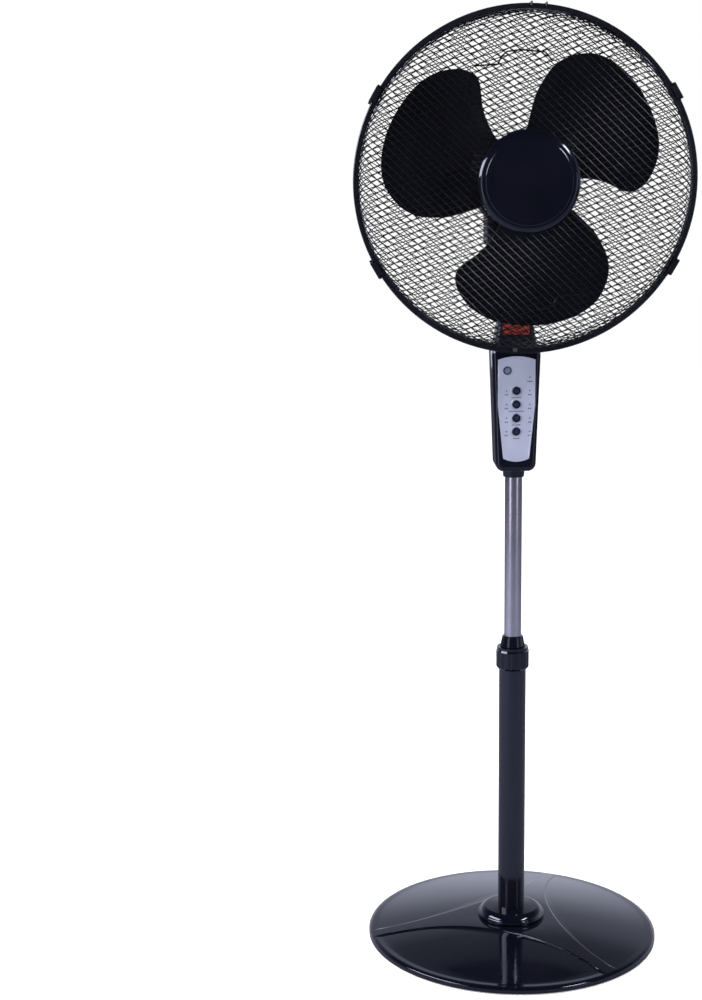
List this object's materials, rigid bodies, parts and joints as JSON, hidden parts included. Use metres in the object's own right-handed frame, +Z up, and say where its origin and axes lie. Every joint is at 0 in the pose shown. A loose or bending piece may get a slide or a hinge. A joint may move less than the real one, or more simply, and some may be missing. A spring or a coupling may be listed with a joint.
{
  "type": "pedestal fan",
  "caption": "Pedestal fan with a round weighted base, telescopic pole with lock nut, button panel, tilting and swinging head, wide blades and a fine wire mesh cage.",
  "frame": {"origin": "on the floor at the centre of the base, below the axis of the pole", "axes": "+Z up along the pole; the fan blows towards -Y; +X is to the right of someone who faces the fan"},
  "size_m": [0.4329, 0.406, 1.2774],
  "materials": {
    "gloss_black": "high gloss moulded, faint scratches",
    "satin_black": "fine satin moulding grain",
    "guard_black": "dipped semi-gloss coating",
    "guard_mesh": "coated fine wire mesh, mostly open",
    "blade_black": "gloss moulded",
    "silver_panel": "metallic lacquer, satin",
    "chrome": "polished plate",
    "lower_tube": "dark blue-grey satin lacquer",
    "weight_steel": "rough cast, dull",
    "steel": "zinc plated",
    "stack_steel": "laminated sheet",
    "copper": "lacquered wire",
    "bronze": "sintered",
    "die_cast": "die cast",
    "rubber": "matt",
    "window": "smoked lens",
    "board": "solder mask",
    "led": "diffuse lens",
    "label_red": "printed film, plain",
    "inner_plastic": "natural"
  },
  "bodies": {
    "stand": {"base_cover": "gloss_black", "base_weight": "weight_steel", "base_feet": "rubber", "base_bolt": "steel", "tube_foot": "steel", "pole_flange": "gloss_black", "lower_tube": "lower_tube", "clamp_collet": "satin_black"},
    "lock_collar": {"lock_nut": "satin_black"},
    "mast": {"upper_tube": "chrome", "tube_end_plug": "inner_plastic", "mast_socket": "satin_black", "housing_front": "gloss_black", "housing_rear": "satin_black", "housing_screws": "steel", "panel_plate": "silver_panel", "ir_window": "window", "control_board": "board", "indicator_leds": "led", "run_capacitor": "inner_plastic", "cord_inlet": "rubber", "neck_column": "satin_black", "neck_label": "label_red", "tilt_bolt": "steel"},
    "button_a": {"button_1": "gloss_black"},
    "button_b": {"button_2": "gloss_black"},
    "button_c": {"button_3": "gloss_black"},
    "button_d": {"button_4": "gloss_black"},
    "tilt_handle": {"tilt_knob": "satin_black"},
    "yoke": {"tilt_yoke": "die_cast", "pivot_bush": "bronze", "swing_arm": "steel"},
    "head": {"gear_case": "die_cast", "pivot_shaft": "steel", "swing_motor": "steel", "motor_front_plate": "die_cast", "motor_rear_plate": "die_cast", "motor_stator": "stack_steel", "stator_windings": "copper", "motor_bearings": "steel", "motor_cover": "satin_black", "front_guard": "guard_mesh", "rear_guard": "guard_mesh", "guard_hoop": "guard_black", "hoop_screw": "steel", "top_hook": "steel", "rear_guard_plate": "steel", "guard_nut": "satin_black", "front_badge": "gloss_black", "badge_backing": "satin_black", "clip_brackets": "guard_black"},
    "crank": {"swing_crank": "inner_plastic"},
    "rotor": {"fan_blade": "blade_black", "blade_nut": "satin_black", "motor_shaft": "steel", "rotor_core": "stack_steel"},
    "clip_a": {"rim_clip_1": "guard_black"},
    "clip_b": {"rim_clip_2": "guard_black"},
    "clip_c": {"rim_clip_3": "guard_black"},
    "clip_d": {"rim_clip_4": "guard_black"}
  },
  "joints": [
    {"name": "lock_collar_turn", "type": "hinge", "parent": "stand", "child": "lock_collar", "pos_m": [0, 0, 0.4], "axis": [0, 0, 1], "range_deg": [0, 120]},
    {"name": "mast_slide", "type": "slide", "parent": "stand", "child": "mast", "axis": [0, 0, 1], "range_m": [-0.22, 0.065]},
    {"name": "tilt", "type": "hinge", "parent": "mast", "child": "yoke", "pos_m": [0, 0, 0.925], "axis": [1, 0, 0], "range_deg": [-15, 20]},
    {"name": "tilt_knob_turn", "type": "hinge", "parent": "mast", "child": "tilt_handle", "pos_m": [0.02, 0, 0.925], "axis": [1, 0, 0], "range_deg": [0, 180]},
    {"name": "swing", "type": "hinge", "parent": "yoke", "child": "head", "pos_m": [0, 0, 0.96], "axis": [0, 0, 1], "range_deg": [-33, 33]},
    {"name": "crank_turn", "type": "hinge", "parent": "head", "child": "crank", "pos_m": [0, 0.026, 0.965], "axis": [0, 0, 1], "range_deg": [-92, 92]},
    {"name": "rotor_spin", "type": "hinge", "parent": "head", "child": "rotor", "pos_m": [0, -0.1, 1.0586], "axis": [0, -1, 0], "continuous": true},
    {"name": "button_a_press", "type": "slide", "parent": "mast", "child": "button_a", "axis": [0, 1, 0], "range_m": [0, 0.001], "stiffness_N_per_m": 600, "springref_m": -0.0005},
    {"name": "button_b_press", "type": "slide", "parent": "mast", "child": "button_b", "axis": [0, 1, 0], "range_m": [0, 0.001], "stiffness_N_per_m": 600, "springref_m": -0.0005},
    {"name": "button_c_press", "type": "slide", "parent": "mast", "child": "button_c", "axis": [0, 1, 0], "range_m": [0, 0.001], "stiffness_N_per_m": 600, "springref_m": -0.0005},
    {"name": "button_d_press", "type": "slide", "parent": "mast", "child": "button_d", "axis": [0, 1, 0], "range_m": [0, 0.001], "stiffness_N_per_m": 600, "springref_m": -0.0005},
    {"name": "clip_a_swing", "type": "hinge", "parent": "head", "child": "clip_a", "pos_m": [0.18801, -0.1045, 1.16715], "axis": [-0.5, 0, 0.866], "range_deg": [0, 80]},
    {"name": "clip_b_swing", "type": "hinge", "parent": "head", "child": "clip_b", "pos_m": [-0.18801, -0.1045, 1.16715], "axis": [-0.5, 0, -0.866], "range_deg": [0, 80]},
    {"name": "clip_c_swing", "type": "hinge", "parent": "head", "child": "clip_c", "pos_m": [-0.18801, -0.1045, 0.95005], "axis": [0.5, 0, -0.866], "range_deg": [0, 80]},
    {"name": "clip_d_swing", "type": "hinge", "parent": "head", "child": "clip_d", "pos_m": [0.18801, -0.1045, 0.95005], "axis": [0.5, 0, 0.866], "range_deg": [0, 80]}
  ],
  "couplings": [
    {"joint": "crank_turn", "follows": "swing", "ratio": -2.7}
  ]
}
